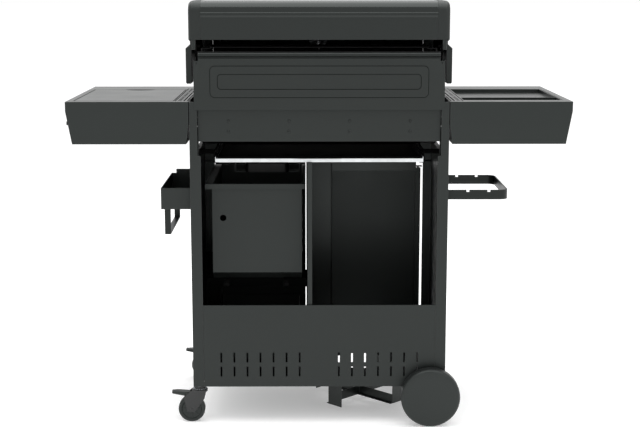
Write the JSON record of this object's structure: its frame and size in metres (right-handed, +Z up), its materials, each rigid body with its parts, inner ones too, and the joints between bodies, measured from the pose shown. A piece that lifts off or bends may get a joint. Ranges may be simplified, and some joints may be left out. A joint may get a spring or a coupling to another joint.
{
  "type": "gas barbecue grill",
  "caption": "Gas barbecue grill on a cart: hooded firebox, side shelves with a side burner, bottle bay with door, drawers, wheels and casters.",
  "frame": {"origin": "on the floor, under the middle of the grill's box", "axes": "+Z up; the front faces -Y; +X is the cook's right when facing the grill"},
  "size_m": [1.37, 0.616, 1.172],
  "materials": {
    "painted_sheet": "satin powder coat",
    "inner_sheet": "satin powder coat",
    "shelf_paint": "satin powder coat",
    "bar_paint": "satin powder coat",
    "zinc_steel": "zinc plated",
    "galvanised": "galvanised",
    "enamel": "matt enamel",
    "cast_iron": "matt enamel",
    "stainless": "brushed",
    "brass": "machined",
    "lid_enamel": "semi-gloss enamel",
    "cast_aluminium": "fine texture powder coat on a casting",
    "handle_steel": "brushed",
    "bezel": "brushed",
    "knob_plastic": "satin",
    "button_plastic": "gloss",
    "caster_steel": "black zinc",
    "caster_plastic": "moulded",
    "wheel_plastic": "moulded"
  },
  "bodies": {
    "cart": {"leg_rear_left": "painted_sheet", "leg_rear_right": "painted_sheet", "leg_front_left": "painted_sheet", "leg_front_right": "painted_sheet", "base_panel": "inner_sheet", "bottle_cradle": "inner_sheet", "lower_back_panel": "painted_sheet", "side_panel_left": "inner_sheet", "side_panel_right": "inner_sheet", "partition": "painted_sheet", "front_frame": "inner_sheet", "runners": "inner_sheet", "firebox": "enamel", "heat_shield": "painted_sheet", "shield_rail": "bar_paint", "back_cover": "painted_sheet", "cover_screws": "painted_sheet", "control_panel": "painted_sheet", "gas_manifold": "brass", "burners": "stainless", "heat_tents": "stainless", "cooking_grates": "cast_iron", "warming_rack": "enamel", "hinge_brackets": "painted_sheet", "right_shelf": "shelf_paint", "side_burner": "stainless", "side_burner_grate": "cast_iron", "left_shelf": "shelf_paint", "shelf_tray": "shelf_paint", "tool_caddy": "painted_sheet", "towel_bar": "bar_paint", "tool_rack": "bar_paint", "cup_holder": "inner_sheet", "wheel_axle": "zinc_steel", "caster_stems": "zinc_steel"},
    "lid": {"lid_shell": "lid_enamel", "lid_end_left": "cast_aluminium", "lid_end_right": "cast_aluminium", "lid_handle": "handle_steel", "thermometer": "bezel"},
    "side_cover": {"side_burner_cover": "shelf_paint"},
    "knob_1": {"knob_1": "knob_plastic"},
    "knob_2": {"knob_2": "knob_plastic"},
    "knob_3": {"knob_3": "knob_plastic"},
    "knob_4": {"knob_4": "knob_plastic"},
    "side_knob": {"side_burner_knob": "knob_plastic"},
    "igniter": {"igniter_button": "button_plastic"},
    "door": {"door": "painted_sheet"},
    "upper_drawer": {"upper_drawer": "painted_sheet"},
    "lower_drawer": {"lower_drawer": "painted_sheet"},
    "drip_tray": {"drip_tray": "galvanised"},
    "grease_cup": {"grease_cup": "enamel"},
    "swivel_rear": {"caster_fork_rear": "caster_steel"},
    "swivel_front": {"caster_fork_front": "caster_steel"},
    "caster_wheel_rear": {"caster_wheel_rear": "caster_plastic"},
    "caster_wheel_front": {"caster_wheel_front": "caster_plastic"},
    "brake_rear": {"brake_lever_rear": "caster_plastic"},
    "brake_front": {"brake_lever_front": "caster_plastic"},
    "wheel_rear": {"big_wheel_rear": "wheel_plastic"},
    "wheel_front": {"big_wheel_front": "wheel_plastic"}
  },
  "joints": [
    {"name": "lid_hinge", "type": "hinge", "parent": "cart", "child": "lid", "pos_m": [0, 0.224, 1.05], "axis": [-1, 0, 0], "range_deg": [0, 80]},
    {"name": "side_cover_hinge", "type": "hinge", "parent": "cart", "child": "side_cover", "pos_m": [0.531, 0.228, 0.8965], "axis": [-1, 0, 0], "range_deg": [0, 80]},
    {"name": "knob_1_turn", "type": "hinge", "parent": "cart", "child": "knob_1", "pos_m": [-0.225, -0.267, 0.85], "axis": [0, 1, 0], "range_deg": [0, 130]},
    {"name": "knob_2_turn", "type": "hinge", "parent": "cart", "child": "knob_2", "pos_m": [-0.075, -0.267, 0.85], "axis": [0, 1, 0], "range_deg": [0, 130]},
    {"name": "knob_3_turn", "type": "hinge", "parent": "cart", "child": "knob_3", "pos_m": [0.075, -0.267, 0.85], "axis": [0, 1, 0], "range_deg": [0, 130]},
    {"name": "knob_4_turn", "type": "hinge", "parent": "cart", "child": "knob_4", "pos_m": [0.225, -0.267, 0.85], "axis": [0, 1, 0], "range_deg": [0, 130]},
    {"name": "side_knob_turn", "type": "hinge", "parent": "cart", "child": "side_knob", "pos_m": [0.53, -0.255, 0.85], "axis": [0, 1, 0], "range_deg": [0, 130]},
    {"name": "igniter_press", "type": "slide", "parent": "cart", "child": "igniter", "axis": [0, 1, 0], "range_m": [0, 0.004], "stiffness_N_per_m": 800, "springref_m": -0.002},
    {"name": "door_hinge", "type": "hinge", "parent": "cart", "child": "door", "pos_m": [-0.308, -0.218, 0.39], "axis": [0, 0, -1], "range_deg": [0, 110]},
    {"name": "upper_drawer_slide", "type": "slide", "parent": "cart", "child": "upper_drawer", "axis": [0, -1, 0], "range_m": [0, 0.36]},
    {"name": "lower_drawer_slide", "type": "slide", "parent": "cart", "child": "lower_drawer", "axis": [0, -1, 0], "range_m": [0, 0.34]},
    {"name": "drip_tray_slide", "type": "slide", "parent": "cart", "child": "drip_tray", "axis": [0, 1, 0], "range_m": [0, 0.38]},
    {"name": "grease_cup_slide", "type": "slide", "parent": "cart", "child": "grease_cup", "axis": [0, 1, 0], "range_m": [0, 0.15]},
    {"name": "swivel_rear_turn", "type": "hinge", "parent": "cart", "child": "swivel_rear", "pos_m": [0.336, 0.242, 0.095], "axis": [0, 0, 1], "continuous": true},
    {"name": "caster_wheel_rear_spin", "type": "hinge", "parent": "swivel_rear", "child": "caster_wheel_rear", "pos_m": [0.359, 0.242, 0.0375], "axis": [0, 1, 0], "continuous": true},
    {"name": "brake_rear_press", "type": "hinge", "parent": "swivel_rear", "child": "brake_rear", "pos_m": [0.371, 0.242, 0.082], "axis": [0, 1, 0], "range_deg": [0, 8]},
    {"name": "swivel_front_turn", "type": "hinge", "parent": "cart", "child": "swivel_front", "pos_m": [0.336, -0.189, 0.095], "axis": [0, 0, 1], "continuous": true},
    {"name": "caster_wheel_front_spin", "type": "hinge", "parent": "swivel_front", "child": "caster_wheel_front", "pos_m": [0.359, -0.189, 0.0375], "axis": [0, 1, 0], "continuous": true},
    {"name": "brake_front_press", "type": "hinge", "parent": "swivel_front", "child": "brake_front", "pos_m": [0.371, -0.189, 0.082], "axis": [0, 1, 0], "range_deg": [0, 8]},
    {"name": "wheel_rear_spin", "type": "hinge", "parent": "cart", "child": "wheel_rear", "pos_m": [-0.309, 0.286, 0.0825], "axis": [0, 1, 0], "continuous": true},
    {"name": "wheel_front_spin", "type": "hinge", "parent": "cart", "child": "wheel_front", "pos_m": [-0.309, -0.234, 0.0825], "axis": [0, 1, 0], "continuous": true}
  ]
}
